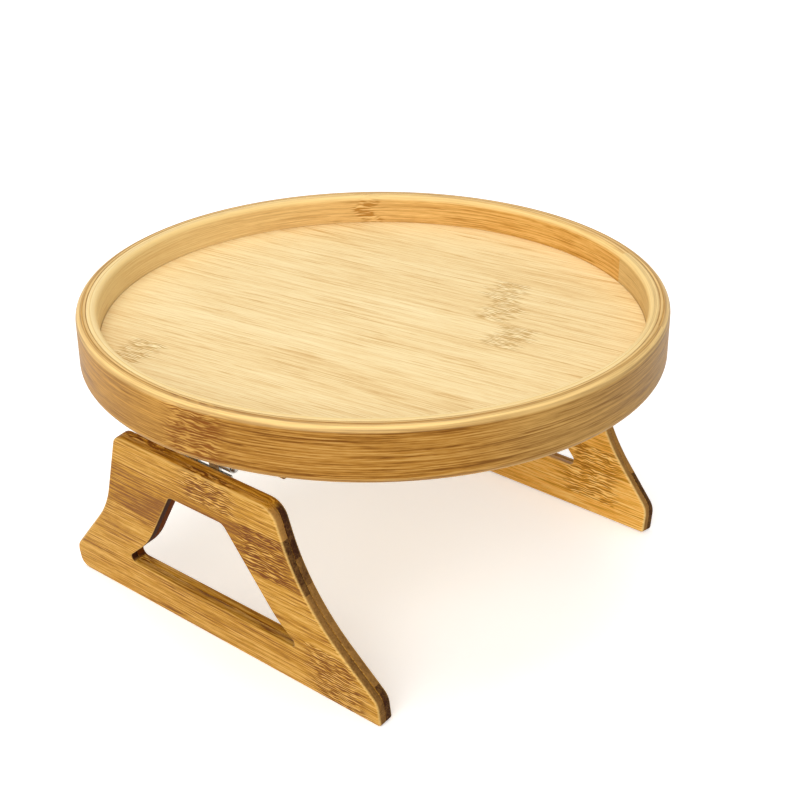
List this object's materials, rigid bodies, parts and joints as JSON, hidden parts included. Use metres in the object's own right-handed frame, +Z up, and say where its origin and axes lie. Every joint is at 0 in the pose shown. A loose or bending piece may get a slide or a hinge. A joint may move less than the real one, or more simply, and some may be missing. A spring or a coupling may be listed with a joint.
{
  "type": "sofa arm tray",
  "caption": "Round bamboo tray with a raised rim and two hinged side wings that fold flat or swing down to straddle a sofa arm.",
  "frame": {"origin": "under the tray's centre, level with the feet of the wings, which touch the floor plane in the pictured pose", "axes": "+Z up, the tray's height being the shortest extent; Y along the wings' long edges and hinge pins, which is along the sofa arm; X across the sofa arm"},
  "size_m": [0.25, 0.25, 0.1302],
  "materials": {
    "hoop_bamboo": "carbonised bamboo strips, clear satin lacquer",
    "floor_bamboo": "natural pale bamboo, clear satin lacquer",
    "wing_bamboo": "carbonised bamboo strips, clear satin lacquer",
    "batten_bamboo": "carbonised bamboo, sanded",
    "hinge_steel": "zinc plated sheet",
    "screw_steel": "zinc plated"
  },
  "bodies": {
    "tray": {"rim_outer_ply": "hoop_bamboo", "rim_inner_ply": "hoop_bamboo", "floor_panel": "floor_bamboo", "batten_left": "batten_bamboo", "batten_right": "batten_bamboo", "batten_screws_left": "screw_steel", "batten_screws_right": "screw_steel", "hinge_left_fixed_leaf": "hinge_steel", "hinge_left_pin": "hinge_steel", "hinge_right_fixed_leaf": "hinge_steel", "hinge_right_pin": "hinge_steel", "fixed_leaf_screws_left": "screw_steel", "fixed_leaf_screws_right": "screw_steel"},
    "wing_left": {"wing_left_outer_ply": "wing_bamboo", "wing_left_inner_ply": "wing_bamboo", "hinge_left_moving_leaf": "hinge_steel", "moving_leaf_screws_left": "screw_steel"},
    "wing_right": {"wing_right_outer_ply": "wing_bamboo", "wing_right_inner_ply": "wing_bamboo", "hinge_right_moving_leaf": "hinge_steel", "moving_leaf_screws_right": "screw_steel"}
  },
  "joints": [
    {"name": "wing_left_fold", "type": "hinge", "parent": "tray", "child": "wing_left", "pos_m": [-0.0988, 0, 0.09142], "axis": [0, 1, 0], "range_deg": [-82, 98]},
    {"name": "wing_right_fold", "type": "hinge", "parent": "tray", "child": "wing_right", "pos_m": [0.0988, 0, 0.09142], "axis": [0, -1, 0], "range_deg": [-82, 98]}
  ]
}
